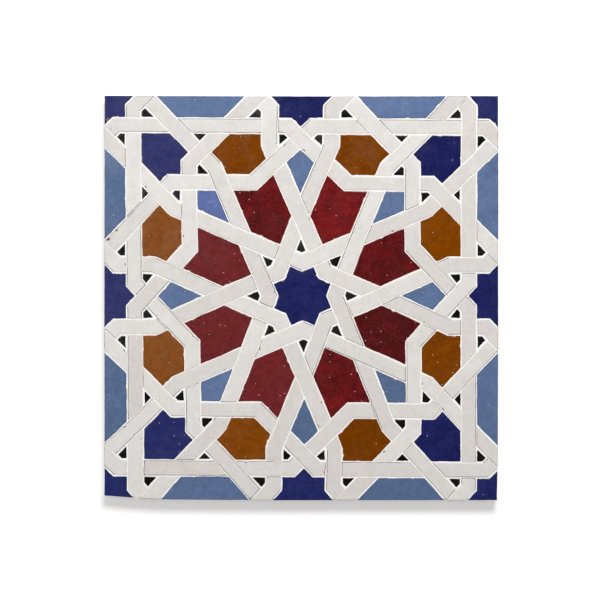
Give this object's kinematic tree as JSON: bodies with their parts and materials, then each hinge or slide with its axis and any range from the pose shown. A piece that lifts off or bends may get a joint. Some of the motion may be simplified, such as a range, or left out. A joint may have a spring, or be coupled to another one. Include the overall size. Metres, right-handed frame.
{
  "type": "moroccan mosaic tile",
  "caption": "Square mosaic tile of hand-cut glazed clay pieces set in mortar, with interlaced white straps around blue, red, amber and black fields.",
  "frame": {"origin": "middle of the back, on the surface the tile lies on", "axes": "+X to the right and +Y up the pattern as pictured, +Z out of the glazed face"},
  "size_m": [0.3, 0.308, 0.015],
  "materials": {
    "mortar": "matt pale cement mortar",
    "white_glaze": "glossy off-white glaze on cut clay",
    "deep_blue_glaze": "glossy deep-blue glaze on cut clay",
    "light_blue_glaze": "glossy light-blue glaze on cut clay",
    "red_glaze": "glossy dark-red glaze on cut clay",
    "amber_glaze": "glossy amber-brown glaze on cut clay",
    "black_glaze": "glossy black glaze on cut clay"
  },
  "bodies": {
    "root": {"amber_side_north_east": "amber_glaze", "amber_side_north_west": "amber_glaze", "amber_side_south_east": "amber_glaze", "amber_side_south_west": "amber_glaze", "amber_top_north_east": "amber_glaze", "amber_top_north_west": "amber_glaze", "amber_top_south_east": "amber_glaze", "amber_top_south_west": "amber_glaze", "black_chips": "black_glaze", "corner_blue_north_east": "deep_blue_glaze", "corner_blue_north_west": "deep_blue_glaze", "corner_blue_south_east": "deep_blue_glaze", "corner_blue_south_west": "deep_blue_glaze", "corner_strap_east": "white_glaze", "corner_strap_north": "white_glaze", "corner_strap_south": "white_glaze", "corner_strap_west": "white_glaze", "half_star_east": "deep_blue_glaze", "half_star_north": "deep_blue_glaze", "half_star_south": "deep_blue_glaze", "half_star_west": "deep_blue_glaze", "middle_star": "deep_blue_glaze", "mortar_bed": "mortar", "outer_straps_north_east": "white_glaze", "outer_straps_north_west": "white_glaze", "outer_straps_south_east": "white_glaze", "outer_straps_south_west": "white_glaze", "quarter_star_north_east": "deep_blue_glaze", "quarter_star_north_west": "deep_blue_glaze", "quarter_star_south_east": "deep_blue_glaze", "quarter_star_south_west": "deep_blue_glaze", "red_shield_1": "red_glaze", "red_shield_2": "red_glaze", "red_shield_3": "red_glaze", "red_shield_4": "red_glaze", "red_shield_5": "red_glaze", "red_shield_6": "red_glaze", "red_shield_7": "red_glaze", "red_shield_8": "red_glaze", "sky_edge_side_north_east": "light_blue_glaze", "sky_edge_side_north_west": "light_blue_glaze", "sky_edge_side_south_east": "light_blue_glaze", "sky_edge_side_south_west": "light_blue_glaze", "sky_edge_top_north_east": "light_blue_glaze", "sky_edge_top_north_west": "light_blue_glaze", "sky_edge_top_south_east": "light_blue_glaze", "sky_edge_top_south_west": "light_blue_glaze", "sky_kite_1": "light_blue_glaze", "sky_kite_2": "light_blue_glaze", "sky_kite_3": "light_blue_glaze", "sky_kite_4": "light_blue_glaze", "sky_kite_5": "light_blue_glaze", "sky_kite_6": "light_blue_glaze", "sky_kite_7": "light_blue_glaze", "sky_kite_8": "light_blue_glaze", "star_strap_north_east": "white_glaze", "star_strap_north_west": "white_glaze", "star_strap_south_east": "white_glaze", "star_strap_south_west": "white_glaze"}
  },
  "joints": []
}
